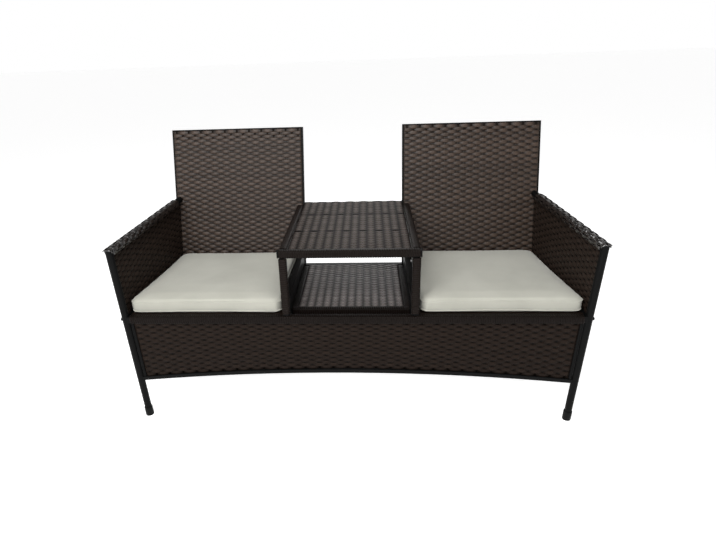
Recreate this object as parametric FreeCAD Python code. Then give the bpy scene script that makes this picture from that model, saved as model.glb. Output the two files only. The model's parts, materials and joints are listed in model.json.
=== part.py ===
import FreeCAD, Part
import math
import os

# Garden bench for two with a table between the seats: steel tube frame, woven panels, loose cushions.
# Driving dimensions are in millimetres. X runs across the bench, Y from front to back, Z up.
# While the pieces are drawn, y = 0 lies on the axes of the front legs.

# Overall sizes
ARM_SPAN = 1430.0
HEIGHT = 840.0
FOOT_SPAN = 1350.0
REAR_FOOT_SPAN = 1300.0
REAR_FOOT_Y = 573.0

# Round steel tube of the legs and arms
TUBE_D = 22.0
TUBE_WALL = 1.2
REAR_BEND_R = 35.0

# Seat frame of square tube
SEAT_BAR = 20.0
SEAT_TOP = 365.0
SEAT_DEPTH = 428.0
SEAT_DROP = 8.0
SIDE_RAIL_REAR_SPAN = 1280.0
BEARER_SPAN = 860.0
BEARER_BAR = 16.0

# Arms: size over the wrap, and the height of its top at the front and back
ARM_WRAP_W = 29.0
ARM_WRAP_H = 26.0
ARM_WRAP_CORNER_R = 10.0
ARM_TOP_FRONT = 588.0
ARM_TOP_BACK = 611.0
ARM_REAR_SPAN = 1288.0
ARM_BARE_END = 40.0
ARM_WEAVE_T = 8.0

# Backrests: square tube frames with the woven face in front
BACK_LEAN = 15.0
BACK_OUTER_SPAN = 1318.0
BACK_INNER_INSET = 26.0
BACK_TUBE = 18.0
BACK_FOOT_BAR_RISE = 8.0
BACK_WEAVE_T = 5.0
BACK_WEAVE_INSET = 4.0
REAR_LEG_TOP = 575.0

# Apron under the front of the seat
APRON_RAIL = 12.0
APRON_END_Z = 135.0
APRON_RISE = 34.0
APRON_STILE_D = 10.0
APRON_STILE_GAP = 1.0

# Table between the seats
TABLE_SPAN = 408.0
TABLE_TOP = 575.0
TABLE_BAR = 18.0
TABLE_WRAP_T = 3.0
TABLE_WRAP_CORNER_R = 7.0
TABLE_FRONT_Y = 4.0
TABLE_WEAVE_DROP = 3.0
CROSS_ROD_D = 10.0
CROSS_ROD_COUNT = 2

# Shelf under the table, and the rails that keep the cushions off it
SHELF_BAR = 19.0
SHELF_FRONT_Y = 52.0
SHELF_REAR_GAP = 26.0
SHELF_LIFT = 3.0
SHELF_WEAVE_DROP = 1.5
GUARD_W = 20.0
GUARD_TOP = 412.0

# Woven panels, their rows of strand, and the wrap on the front seat rail
WEAVE_T = 6.0
ROW_PITCH = 10.0
ROW_GROOVE = 1.2
ROW_EDGE = 1.6
RAIL_WRAP_T = 2.5
RAIL_WRAP_CORNER_R = 6.0

# Caps on the feet, and plugs in the open tube ends
CAP_R = 13.0
CAP_H = 30.0
CAP_FLOOR = 6.0
END_PLUG_HEAD = 2.0
END_PLUG_DEPTH = 10.0

# Bolts, and the threaded plugs they draw up
BOLT_D = 6.0
BOLT_HOLE_D = 6.6
BOLT_FLATS = 10.0
BOLT_HEAD_H = 2.5
BOLT_GRIP = 18.0
THREAD_PLUG_LENGTH = 24.0

# Seat cushions
CUSHION_T = 45.0
CUSHION_CROWN = 9.0
CUSHION_FRONT_Y = 13.5
CUSHION_CORNER = 24.0
CUSHION_DRAW = 4.0
CUSHION_SHOULDER = 7.0
CROWN_EDGE = 42.0
CROWN_FLAT = 98.0
CUSHION_GAP = 3.0

# Clearance where two pieces meet
SEAM = 0.2

V = FreeCAD.Vector
ACROSS = V(1, 0, 0)
BACKWARD = V(0, 1, 0)
UP = V(0, 0, 1)
SIDES = {"left": -1, "right": 1}
BLOCK = 3 * ARM_SPAN

# Values that follow from the driving dimensions
TUBE_R = TUBE_D / 2
BORE_R = TUBE_R - TUBE_WALL
RAIL_WRAP = SEAT_BAR + SEAM + 2 * RAIL_WRAP_T
RAIL_Z = SEAT_TOP - SEAT_BAR / 2
REAR_RAIL_Z = RAIL_Z - SEAT_DROP
LEAN = math.radians(BACK_LEAN)
BACK_UP = V(0, math.sin(LEAN), math.cos(LEAN))
BACK_NORMAL = V(0, math.cos(LEAN), -math.sin(LEAN))
BACK_ORIGIN = V(0, SEAT_DEPTH, SEAT_TOP)
FRAME_MID = BACK_WEAVE_T + BACK_TUBE / 2
FRAME_BACK = BACK_WEAVE_T + BACK_TUBE
REAR_LEG_DEPTH = FRAME_BACK + SEAM + TUBE_R
BACK_INNER_SPAN = TABLE_SPAN - 2 * BACK_INNER_INSET
SHELF_REAR_Y = SEAT_DEPTH - SHELF_REAR_GAP
OUTER_POST_X = BACK_OUTER_SPAN / 2 - BACK_TUBE / 2
INNER_POST_X = BACK_INNER_SPAN / 2 + BACK_TUBE / 2
ARM_FRONT_Z = ARM_TOP_FRONT - ARM_WRAP_H / 2
ARM_BACK_Z = ARM_TOP_BACK - ARM_WRAP_H / 2
ARM_AXIS_SPAN = ARM_SPAN - ARM_WRAP_W
TABLE_WRAP = TABLE_BAR + 2 * TABLE_WRAP_T
TABLE_BAR_X = TABLE_SPAN / 2 - TABLE_WRAP / 2
TABLE_BAR_Z = TABLE_TOP - TABLE_WRAP / 2
SHELF_BAR_X = TABLE_BAR_X - SEAT_BAR / 2 - SHELF_BAR / 2 - SEAM
APRON_AXIS_Z = APRON_END_Z + APRON_RAIL / 2
BOLT_HEAD_R = BOLT_FLATS / math.sqrt(3)


# Places

def back_point(x, rise, depth):
    """Point of a leaning backrest: rise up along it, depth behind the woven face."""
    return BACK_ORIGIN + ACROSS * x + BACK_UP * rise + BACK_NORMAL * depth


def back_rise(z, depth):
    """Rise along the backrest at which a point at this depth has the height z."""
    return (z - SEAT_TOP + depth * math.sin(LEAN)) / math.cos(LEAN)


def back_face_y(z):
    """Where the woven faces of the backrests stand at the height z."""
    return SEAT_DEPTH + math.tan(LEAN) * (z - SEAT_TOP)


def on_line(line, y):
    """Point of a line, given by two points, at the given y."""
    start, end = line
    return start + (end - start) * ((y - start.y) / (end.y - start.y))


def leg_axis_x(z):
    """Distance of the splayed front legs from the middle."""
    return (FOOT_SPAN + (ARM_AXIS_SPAN - FOOT_SPAN) * z / ARM_FRONT_Z) / 2


def leg_point(side, z):
    return V(side * leg_axis_x(z), 0, z)


def arm_end(side):
    """Where the arm's axis meets the face of the backrest."""
    return V(side * ARM_REAR_SPAN / 2, back_face_y(ARM_BACK_Z), ARM_BACK_Z)


def arm_line(side):
    return leg_point(side, ARM_FRONT_Z), arm_end(side)


def rear_path(side):
    """Axis of a rear leg: foot, bend at the seat, head behind the backrest."""
    x = side * OUTER_POST_X
    depth = REAR_LEG_DEPTH
    return [
        V(side * REAR_FOOT_SPAN / 2, REAR_FOOT_Y, 0),
        back_point(x, back_rise(REAR_RAIL_Z, depth), depth),
        back_point(x, back_rise(REAR_LEG_TOP, depth), depth),
    ]


def side_rail_line(side):
    return leg_point(side, RAIL_Z), V(side * SIDE_RAIL_REAR_SPAN / 2, rear_path(side)[1].y, REAR_RAIL_Z)


REAR_RAIL_Y = back_point(0, back_rise(REAR_RAIL_Z, FRAME_MID), FRAME_MID).y


def front_rail_line():
    return leg_point(-1, RAIL_Z), leg_point(1, RAIL_Z)


def rear_rail_line():
    return tuple(on_line(side_rail_line(side), REAR_RAIL_Y) for side in (-1, 1))


def rail_height(y):
    """Height of the seat rails' axes, which drop towards the back."""
    return RAIL_Z - SEAT_DROP * y / REAR_RAIL_Y


def fore_aft_line(x, lift):
    """Axis from the front seat rail to the rear one, raised by lift."""
    return V(x, 0, RAIL_Z + lift), V(x, REAR_RAIL_Y, REAR_RAIL_Z + lift)


def table_front_line():
    return V(-TABLE_SPAN / 2, TABLE_FRONT_Y, TABLE_BAR_Z), V(TABLE_SPAN / 2, TABLE_FRONT_Y, TABLE_BAR_Z)


def table_rear_line():
    middle = back_point(0, back_rise(TABLE_BAR_Z, FRAME_MID), FRAME_MID)
    reach = ACROSS * (BACK_INNER_SPAN / 2 - SEAM)
    return middle - reach, middle + reach


def table_side_line(side):
    x = side * TABLE_BAR_X
    return V(x, TABLE_FRONT_Y, TABLE_BAR_Z), V(x, back_face_y(TABLE_TOP), TABLE_BAR_Z)


def table_post_line(side):
    x = side * TABLE_BAR_X
    return V(x, TABLE_FRONT_Y, RAIL_Z), V(x, TABLE_FRONT_Y, TABLE_BAR_Z)


def shelf_loop():
    """Corners of the shelf frame's axes, which follow the fall of the seat rails."""
    plan = [(-1, SHELF_FRONT_Y), (1, SHELF_FRONT_Y), (1, SHELF_REAR_Y), (-1, SHELF_REAR_Y)]
    return [V(side * SHELF_BAR_X, y, rail_height(y) + SHELF_LIFT) for side, y in plan]


# Solids

def rod(line, radius):
    start, end = line
    return Part.makeCylinder(radius, (end - start).Length, start, end - start)


def tube(line, radius, wall):
    return rod(line, radius).cut(rod(line, radius - wall))


def half_space(point, normal):
    """Large block on the side of a plane that the normal points to."""
    block = Part.makeBox(BLOCK, BLOCK, BLOCK, V(-BLOCK / 2, -BLOCK / 2, 0))
    block.Placement = FreeCAD.Placement(point, FreeCAD.Rotation(UP, normal))
    return block


def backrest_zone():
    """Everything behind the woven faces, less the seam in front of them."""
    return half_space(back_point(0, 0, -SEAM), BACK_NORMAL)


def mitre_plane(before, corner, after):
    """Point and normal of the plane on which two runs of tube meet."""
    return corner, (corner - before).normalize() + (after - corner).normalize()


def mitred(make, before, start, end, after, spare):
    """Straight run of tube whose ends are cut to meet the runs before and after it, where there are any."""
    run = (end - start).normalize() * spare
    member = make((start - run if before else start, end + run if after else end))
    if before:
        point, normal = mitre_plane(before, start, end)
        member = member.cut(half_space(point, -normal))
    if after:
        point, normal = mitre_plane(start, end, after)
        member = member.cut(half_space(point, normal))
    return member


def round_tube(line):
    return tube(line, TUBE_R, TUBE_WALL)


def box_bar(line, across, width, height):
    """Bar of rectangular section along a line, its section upright and square to X or Y."""
    start, end = line
    upward = BACKWARD if start.x == end.x and start.y == end.y else UP
    half_w = across * (width / 2)
    half_h = upward * (height / 2)
    section = [start - half_w - half_h, start + half_w - half_h, start + half_w + half_h, start - half_w + half_h]
    return slab(section, end - start)


def box_tube(line, across, width, height):
    bore = box_bar(line, across, width - 2 * TUBE_WALL, height - 2 * TUBE_WALL)
    return box_bar(line, across, width, height).cut(bore)


def ring_face(centre, normal, radius, wall):
    outer = Part.Face(Part.Wire([Part.makeCircle(radius, centre, normal)]))
    return outer.cut(Part.Face(Part.Wire([Part.makeCircle(radius - wall, centre, normal)])))


def bent_tube(start, corner, end, bend_radius, radius, wall):
    """Two straight runs joined by a tangent bend."""
    run_in = (corner - start).normalize()
    run_out = (end - corner).normalize()
    turn = run_in.getAngle(run_out)
    reach = bend_radius * math.tan(turn / 2)
    bend_start = corner - run_in * reach
    bend_end = corner + run_out * reach
    axis = run_in.cross(run_out).normalize()
    centre = bend_start + axis.cross(run_in) * bend_radius
    face = ring_face(bend_start, run_in, radius, wall)
    bend = face.revolve(centre, axis, math.degrees(turn))
    return tube((start, bend_start), radius, wall).fuse([bend, tube((bend_end, end), radius, wall)])


def rounded_section(centre, across, upward, width, height, radius):
    """Closed wire of a rectangle with round corners."""
    corner_arcs = []
    bulge = radius * (1 - math.sqrt(0.5))
    for i, j in ((1, 1), (-1, 1), (-1, -1), (1, -1)):
        edge_x = across * (i * width / 2)
        edge_y = upward * (j * height / 2)
        back_x = across * (-i * radius)
        back_y = upward * (-j * radius)
        corner = centre + edge_x + edge_y
        on_side = corner + back_y
        on_flat = corner + back_x
        middle = corner - across * (i * bulge) - upward * (j * bulge)
        ends = (on_side, middle, on_flat) if i == j else (on_flat, middle, on_side)
        corner_arcs.append(ends)
    edges = []
    for ends, following in zip(corner_arcs, corner_arcs[1:] + corner_arcs[:1]):
        edges.append(Part.Arc(*ends).toShape())
        edges.append(Part.LineSegment(ends[2], following[0]).toShape())
    return Part.Wire(edges)


def polygon(points):
    return Part.makePolygon(points + points[:1])


def slab(corners, thickness):
    """Flat panel of the given outline, thickened along a vector."""
    return Part.Face(polygon(corners)).extrude(thickness)


def ribbed_panel(corner, across, along, rise, inward, thickness):
    """Woven panel whose rows of strand run across it and stand out as ribs."""
    rows = round(rise / ROW_PITCH)
    pitch = rise / rows
    outline = []
    for row in range(rows):
        for place, depth in ((0, ROW_GROOVE), (ROW_EDGE, 0), (pitch - ROW_EDGE, 0)):
            outline.append(corner + along * (row * pitch + place) + inward * depth)
    outline.append(corner + along * rise + inward * ROW_GROOVE)
    outline.append(corner + along * rise + inward * thickness)
    outline.append(corner + inward * thickness)
    return slab(outline, across)


def turned(profile, place, direction):
    """Solid of revolution: profile points are (radius, height), place and direction give its axis."""
    wire = polygon([V(r, 0, h) for r, h in profile])
    solid = Part.Face(wire).revolve(V(0, 0, 0), UP, 360)
    solid.Placement = FreeCAD.Placement(place, FreeCAD.Rotation(UP, direction))
    return solid


# Side frames

def front_leg(side):
    foot, corner = leg_point(side, 0), leg_point(side, ARM_FRONT_Z)
    start = foot + (corner - foot).normalize() * CAP_FLOOR
    return mitred(round_tube, None, start, corner, arm_end(side), TUBE_D)


def leg_clearance(side):
    """Room for a front leg in the members that seat on it."""
    return rod((leg_point(side, 0), leg_point(side, ARM_FRONT_Z)), TUBE_R + SEAM / 2)


def arm_rail(side):
    corner, end = arm_line(side)
    past_end = end + (end - corner).normalize() * TUBE_D
    return mitred(round_tube, leg_point(side, 0), corner, past_end, None, TUBE_D).cut(backrest_zone())


def arm_wrap(side):
    """Sleeve woven round the arm, from the mitre at its corner to just short of the backrest."""
    corner, arm_back = arm_line(side)
    run = (arm_back - corner).normalize()
    across = V(run.y, -run.x, 0).normalize()
    start = corner - run * ARM_WRAP_W
    end = arm_back - run * ARM_BARE_END
    outline = rounded_section(start, across, across.cross(run), ARM_WRAP_W, ARM_WRAP_H, ARM_WRAP_CORNER_R)
    sleeve = Part.Face(outline).extrude(end - start).cut(rod((start, end), TUBE_R + SEAM / 2))
    point, normal = mitre_plane(leg_point(side, 0), corner, arm_back)
    return sleeve.cut(half_space(point + run * SEAM, -normal))


def arm_weave(side):
    """Twisted side panel between the seat side rail and the flared arm."""
    half = ACROSS * (ARM_WEAVE_T / 2)
    quads = []
    edges = ((side_rail_line(side), SEAT_BAR / 2 + SEAM), (arm_line(side), -ARM_WRAP_H / 2 - SEAM))
    for line, shift in edges:
        near = on_line(line, TUBE_R + SEAM) + UP * shift
        far = on_line(line, arm_end(side).y) + UP * shift
        quads.append(polygon([near - half, near + half, far + half, far - half]))
    return Part.makeLoft(quads, True, True).cut(backrest_zone())


def rear_leg(side):
    foot, knee, head = rear_path(side)
    start = foot + (knee - foot).normalize() * CAP_FLOOR
    return bent_tube(start, knee, head, REAR_BEND_R, TUBE_R, TUBE_WALL)


def rear_leg_clearance(side):
    """Room for a rear leg in the side rail that ends on it."""
    foot, knee, head = rear_path(side)
    return bent_tube(foot, knee, head, REAR_BEND_R, TUBE_R + SEAM / 2, TUBE_R)


def foot_cap(foot, above):
    """Cup on the end of a leg, cut flat where it stands."""
    bore = TUBE_R + SEAM / 2
    profile = [(0, -CAP_FLOOR), (CAP_R, -CAP_FLOOR), (CAP_R, CAP_H), (bore, CAP_H), (bore, CAP_FLOOR - SEAM),
               (0, CAP_FLOOR - SEAM)]
    return turned(profile, foot, above - foot).cut(half_space(V(0, 0, 0), -UP))


def foot_caps():
    caps = []
    for side in (-1, 1):
        caps.append(foot_cap(leg_point(side, 0), leg_point(side, RAIL_Z)))
        caps.append(foot_cap(*rear_path(side)[:2]))
    return Part.makeCompound(caps)


# Seat frame

def seat_front_rail():
    return box_tube(front_rail_line(), BACKWARD, SEAT_BAR, SEAT_BAR).cut([leg_clearance(-1), leg_clearance(1)])


def seat_front_rail_wrap():
    reach = leg_axis_x(RAIL_Z) - RAIL_WRAP / 2 - SEAM
    line = V(-reach, 0, RAIL_Z), V(reach, 0, RAIL_Z)
    outline = rounded_section(line[0], BACKWARD, UP, RAIL_WRAP, RAIL_WRAP, RAIL_WRAP_CORNER_R)
    core = box_bar(line, BACKWARD, SEAT_BAR + SEAM, SEAT_BAR + SEAM)
    return Part.Face(outline).extrude(line[1] - line[0]).cut(core)


def front_rail_room():
    return box_bar(front_rail_line(), BACKWARD, RAIL_WRAP + SEAM, RAIL_WRAP + SEAM)


def rear_rail_room():
    return box_bar(rear_rail_line(), BACKWARD, SEAT_BAR + SEAM, SEAT_BAR + SEAM)


def side_rail_room(side):
    return box_bar(side_rail_line(side), ACROSS, SEAT_BAR + SEAM, SEAT_BAR + SEAM)


def inner_rail_room(side):
    return box_bar(fore_aft_line(side * TABLE_BAR_X, 0), ACROSS, SEAT_BAR + SEAM, SEAT_BAR + SEAM)


def seat_side_rail(side):
    neighbours = [leg_clearance(side), rear_leg_clearance(side), front_rail_room()]
    return box_tube(side_rail_line(side), ACROSS, SEAT_BAR, SEAT_BAR).cut(neighbours)


def seat_rear_rail():
    bar = box_tube(rear_rail_line(), BACKWARD, SEAT_BAR, SEAT_BAR)
    return bar.cut([side_rail_room(-1), side_rail_room(1)])


def seat_inner_rail(side):
    bar = box_tube(fore_aft_line(side * TABLE_BAR_X, 0), ACROSS, SEAT_BAR, SEAT_BAR)
    return bar.cut([front_rail_room(), rear_rail_room()])


def seat_bearer(side):
    """Bar under the middle of a woven seat, butted between the front and rear rails."""
    line = fore_aft_line(side * BEARER_SPAN / 2, SEAT_BAR / 2 - WEAVE_T - SEAM - BEARER_BAR / 2)
    start = on_line(line, RAIL_WRAP / 2 + SEAM)
    end = on_line(line, REAR_RAIL_Y - SEAT_BAR / 2 - SEAM)
    return box_tube((start, end), ACROSS, BEARER_BAR, BEARER_BAR)


def seat_weave(side):
    """Woven seat stretched between the rails, its top level with theirs."""
    edge = SEAT_BAR / 2 + SEAM
    corners = []
    for y in (RAIL_WRAP / 2 + SEAM, REAR_RAIL_Y - edge):
        inner = V(side * (TABLE_BAR_X + edge), y, rail_height(y) + SEAT_BAR / 2)
        outer = V(on_line(side_rail_line(side), y).x - side * edge, y, inner.z)
        corners.append((inner, outer))
    (front_inner, front_outer), (rear_inner, rear_outer) = corners
    return slab([front_inner, front_outer, rear_outer, rear_inner], -UP * WEAVE_T)


# Apron

APRON_HALF = leg_axis_x(APRON_AXIS_Z)
APRON_ARC_R = (APRON_HALF ** 2 + APRON_RISE ** 2) / (2 * APRON_RISE)
APRON_ARC_CENTRE = V(0, 0, APRON_AXIS_Z + APRON_RISE - APRON_ARC_R)


def apron_arc_point(x, lift):
    """Point of the arch under the apron, or of one raised by lift."""
    radius = APRON_ARC_R + lift
    return V(x, 0, APRON_ARC_CENTRE.z + math.sqrt(radius ** 2 - x ** 2))


def apron_band(reach, low, high, thickness):
    """Plate between two arcs of the arch, low and high above its axis, ending at x = -reach and reach."""
    lower = [apron_arc_point(x, low) for x in (-reach, 0, reach)]
    upper = [apron_arc_point(x, high) for x in (reach, 0, -reach)]
    edges = [Part.Arc(*lower).toShape(), Part.LineSegment(lower[2], upper[0]).toShape(),
             Part.Arc(*upper).toShape(), Part.LineSegment(upper[2], lower[0]).toShape()]
    band = Part.Face(Part.Wire(edges)).extrude(BACKWARD * thickness)
    band.translate(BACKWARD * (-thickness / 2))
    return band


def apron_lower_rail():
    """Square tube rolled to the arch, its ends shaped to the front legs."""
    half = APRON_RAIL / 2
    inner = half - TUBE_WALL
    bar = apron_band(APRON_HALF, -half, half, APRON_RAIL)
    return bar.cut([apron_band(APRON_HALF, -inner, inner, 2 * inner), leg_clearance(-1), leg_clearance(1)])


def apron_stile(side):
    """Upright rod beside a front leg that the apron's strands turn round."""
    offset = TUBE_R + APRON_STILE_GAP + APRON_STILE_D / 2
    low_z = apron_arc_point(APRON_HALF - offset, APRON_RAIL / 2 + SEAM).z + SEAM
    high_z = RAIL_Z - RAIL_WRAP / 2 - 2 * SEAM
    return rod([V(side * (leg_axis_x(z) - offset), 0, z) for z in (low_z, high_z)], APRON_STILE_D / 2)


def apron_weave():
    """Woven front panel, its lower edge following the arched rail."""
    edge = TUBE_R + APRON_STILE_GAP + APRON_STILE_D + SEAM
    lift = APRON_RAIL / 2 + SEAM
    left, crest, right = (apron_arc_point(x, lift) for x in (edge - APRON_HALF, 0, APRON_HALF - edge))
    top = RAIL_Z - RAIL_WRAP / 2 - SEAM
    corners = [right, V(leg_axis_x(top) - edge, 0, top), V(edge - leg_axis_x(top), 0, top), left]
    lines = [Part.LineSegment(a, b).toShape() for a, b in zip(corners, corners[1:])]
    panel = Part.Face(Part.Wire([Part.Arc(left, crest, right).toShape()] + lines)).extrude(BACKWARD * WEAVE_T)
    panel.translate(BACKWARD * (-WEAVE_T / 2))
    return panel


# Backrests

BACK_TOP_RISE = back_rise(HEIGHT, BACK_WEAVE_T)
BACK_LOW_RISE = back_rise(REAR_RAIL_Z, FRAME_MID)


def back_block(x_range, rise_range, depth_range):
    """Block of a leaning backrest between two limits each way."""
    corners = [back_point(x, rise, depth_range[0])
               for x, rise in zip(x_range + x_range[::-1], (rise_range[0],) * 2 + (rise_range[1],) * 2)]
    return slab(corners, BACK_NORMAL * (depth_range[1] - depth_range[0]))


def square_upright(x, low, high):
    half = BACK_TUBE / 2
    inner = half - TUBE_WALL
    depths = (BACK_WEAVE_T, FRAME_BACK)
    bore_depths = (BACK_WEAVE_T + TUBE_WALL, FRAME_BACK - TUBE_WALL)
    outer = back_block((x - half, x + half), (low, high), depths)
    return outer.cut(back_block((x - inner, x + inner), (low, high), bore_depths))


def square_crossbar(x_range, rise):
    half = BACK_TUBE / 2
    inner = half - TUBE_WALL
    depths = (BACK_WEAVE_T, FRAME_BACK)
    bore_depths = (BACK_WEAVE_T + TUBE_WALL, FRAME_BACK - TUBE_WALL)
    outer = back_block(x_range, (rise - half, rise + half), depths)
    return outer.cut(back_block(x_range, (rise - inner, rise + inner), bore_depths))


def back_corner_cut(x, toward):
    """Block above the mitre at a top corner of a backrest frame."""
    corner = back_point(x, BACK_TOP_RISE - BACK_TUBE / 2, 0)
    return half_space(corner, BACK_UP - ACROSS * toward)


def back_upright(side, x, toward):
    """Upright of a backrest frame, seated on the rear rail and mitred at the top."""
    post = square_upright(x, BACK_LOW_RISE, BACK_TOP_RISE)
    rooms = [rear_rail_room(), side_rail_room(side), inner_rail_room(side)]
    return post.cut(rooms + [back_corner_cut(x, -toward)])


def back_top_bar(side):
    ends = sorted((side * INNER_POST_X, side * OUTER_POST_X))
    half = BACK_TUBE / 2
    bar = square_crossbar((ends[0] - half, ends[1] + half), BACK_TOP_RISE - half)
    for x, toward in zip(ends, (1, -1)):
        corner = back_point(x, BACK_TOP_RISE - half, 0)
        bar = bar.cut(half_space(corner + ACROSS * (toward * SEAM), -(BACK_UP + ACROSS * toward)))
    return bar


def back_foot_bar(side):
    gap = BACK_TUBE / 2 + SEAM
    ends = sorted((side * (INNER_POST_X + gap), side * (OUTER_POST_X - gap)))
    return square_crossbar(tuple(ends), BACK_FOOT_BAR_RISE + BACK_TUBE / 2)


def back_weave(side):
    inner = BACK_INNER_SPAN / 2 + BACK_WEAVE_INSET
    outer = BACK_OUTER_SPAN / 2 - BACK_WEAVE_INSET
    low, high = BACK_FOOT_BAR_RISE, BACK_TOP_RISE - BACK_WEAVE_INSET
    corner = back_point(side * inner, low, 0)
    return ribbed_panel(corner, ACROSS * (side * (outer - inner)), BACK_UP, high - low, BACK_NORMAL,
                        BACK_WEAVE_T - SEAM)


# Table

def table_core(line):
    start, end = line
    return box_tube(line, BACKWARD if start.y == end.y and start.z == end.z else ACROSS, TABLE_BAR, TABLE_BAR)


def table_sleeve(line):
    """Wrap round one square bar or post of the table."""
    start, end = line
    across = BACKWARD if start.y == end.y and start.z == end.z else ACROSS
    upward = BACKWARD if start.y == end.y and start.x == end.x else UP
    outline = rounded_section(start, across, upward, TABLE_WRAP, TABLE_WRAP, TABLE_WRAP_CORNER_R)
    core = box_bar(line, across, TABLE_BAR + SEAM, TABLE_BAR + SEAM)
    return Part.Face(outline).extrude(end - start).cut(core)


def table_side_run(side):
    """Stretch of a side bar that clears the front bar."""
    start, end = table_side_line(side)
    return start + BACKWARD * (TABLE_WRAP / 2 + SEAM), end


def table_post_run(side):
    """Stretch of a post between the wrapped seat rail and the front bar."""
    low, high = table_post_line(side)
    return low + UP * (RAIL_WRAP / 2 + SEAM), high - UP * (TABLE_WRAP / 2 + SEAM)


def table_side_bar(side):
    return table_core(table_side_run(side)).cut(backrest_zone())


def table_post(side):
    return table_core(table_post_run(side))


def table_frame_wrap():
    """Sleeves woven round the bars and posts of the table."""
    sleeves = [table_sleeve(table_front_line()), table_sleeve(table_rear_line())]
    for side in (-1, 1):
        sleeves.append(table_sleeve(table_side_run(side)).cut(backrest_zone()))
        sleeves.append(table_sleeve(table_post_run(side)))
    return Part.makeCompound(sleeves)


def table_weave_limits():
    half = BACK_INNER_SPAN / 2 - SEAM
    front = TABLE_FRONT_Y + TABLE_WRAP / 2 + SEAM
    rear = table_rear_line()[0].y - TABLE_WRAP / 2 - SEAM
    return half, front, rear


def table_top_weave():
    half, front, rear = table_weave_limits()
    corner = V(-half, front, TABLE_TOP - TABLE_WEAVE_DROP)
    return ribbed_panel(corner, ACROSS * (2 * half), BACKWARD, rear - front, -UP, WEAVE_T)


def table_cross_rods():
    """Rods under the woven top that keep it from sagging, welded between the side bars."""
    _, front, rear = table_weave_limits()
    z = TABLE_TOP - TABLE_WEAVE_DROP - WEAVE_T - SEAM - CROSS_ROD_D / 2
    reach = TABLE_BAR_X - TABLE_WRAP / 2 - SEAM
    spacing = (rear - front) / (CROSS_ROD_COUNT + 1)
    places = [front + spacing * (index + 1) for index in range(CROSS_ROD_COUNT)]
    return Part.makeCompound([rod((V(-reach, y, z), V(reach, y, z)), CROSS_ROD_D / 2) for y in places])


# Shelf and cushion guards

def shelf_bar(index):
    """One side of the shelf frame, mitred to its neighbours."""
    loop = shelf_loop()
    before, start, end, after = (loop[(index + step) % 4] for step in (-1, 0, 1, 2))
    across = BACKWARD if start.y == end.y else ACROSS
    return mitred(lambda line: box_tube(line, across, SHELF_BAR, SHELF_BAR), before, start, end, after, SHELF_BAR)


def shelf_weave():
    inset = SHELF_BAR / 2 + SEAM
    lift = UP * (SHELF_BAR / 2 - SHELF_WEAVE_DROP)
    centre = sum(shelf_loop(), V(0, 0, 0)) / 4
    corners = []
    for corner in shelf_loop():
        y = corner.y + math.copysign(inset, centre.y - corner.y)
        corners.append(V(corner.x - math.copysign(inset, corner.x), y, rail_height(y) + SHELF_LIFT) + lift)
    return slab(corners, -UP * WEAVE_T)


def cushion_guard(side):
    """Flat rail from a table post back to the backrest, beside the cushion."""
    bottom = RAIL_Z + SEAT_BAR / 2 + SEAM
    start = V(side * TABLE_BAR_X, TABLE_FRONT_Y + TABLE_WRAP / 2 + SEAM, (bottom + GUARD_TOP) / 2)
    end = V(start.x, back_face_y(GUARD_TOP), start.z)
    return box_tube((start, end), ACROSS, GUARD_W, GUARD_TOP - bottom).cut(backrest_zone())


# Bolts and plugs

def bolt_places():
    """For each bolt: the place under its head, its direction, its length, and its plug's start and direction."""
    leg_splay = (ARM_AXIS_SPAN - FOOT_SPAN) / (2 * ARM_FRONT_Z)
    places = []
    for side in (-1, 1):
        inward = ACROSS * -side
        leg = leg_point(side, RAIL_Z)
        head = leg - inward * (TUBE_R + BOLT_HEAD_R * leg_splay + SEAM)
        plug = leg + inward * (TUBE_R + SEAT_BAR / 2 * leg_splay + SEAM)
        places.append((head, inward, TUBE_D + BOLT_GRIP, plug, inward))
        corner, end = arm_line(side)
        head = back_point((end.x + side * OUTER_POST_X) / 2, back_rise(end.z, 0), FRAME_BACK + SEAM)
        places.append((head, -BACK_NORMAL, FRAME_BACK + BOLT_GRIP, end, (corner - end).normalize()))
    return places


def frame_bolts():
    """Hexagon bolts: from outside through the front legs, and from behind through the backrests."""
    turns = [math.radians(60 * step) for step in range(6)]
    hexagon = [V(math.cos(turn), math.sin(turn), 0) * BOLT_HEAD_R for turn in turns]
    bolts = []
    for head, direction, length, _, _ in bolt_places():
        bolt = slab(hexagon, -UP * BOLT_HEAD_H).fuse(rod((V(0, 0, 0), UP * length), BOLT_D / 2))
        bolt.Placement = FreeCAD.Placement(head, FreeCAD.Rotation(UP, direction))
        bolts.append(bolt)
    return Part.makeCompound(bolts)


def bolt_holes(diameter):
    return [rod((head - direction * BOLT_HEAD_H, head + direction * (length + SEAM)), diameter / 2)
            for head, direction, length, _, _ in bolt_places()]


def threaded_plugs():
    """Square blocks fixed in the ends of the front rail and arms, which the bolts screw into."""
    holes = bolt_holes(BOLT_D + SEAM)
    size = math.sqrt(2) * (BORE_R - SEAM)
    plugs = []
    for _, _, _, start, run in bolt_places():
        end = start + run * THREAD_PLUG_LENGTH
        across = BACKWARD if run.y == 0 else ACROSS
        front = start if run.y == 0 else start - run * TUBE_D
        plugs.append(box_bar((front, end), across, size, size).cut(holes + [backrest_zone()]))
    return Part.makeCompound(plugs)


def leg_head_plug(side):
    """Plug pressed flush into the head of a rear leg."""
    _, knee, head = rear_path(side)
    inward = (knee - head).normalize()
    return rod((head, head + inward * END_PLUG_DEPTH), BORE_R - SEAM / 2)


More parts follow.
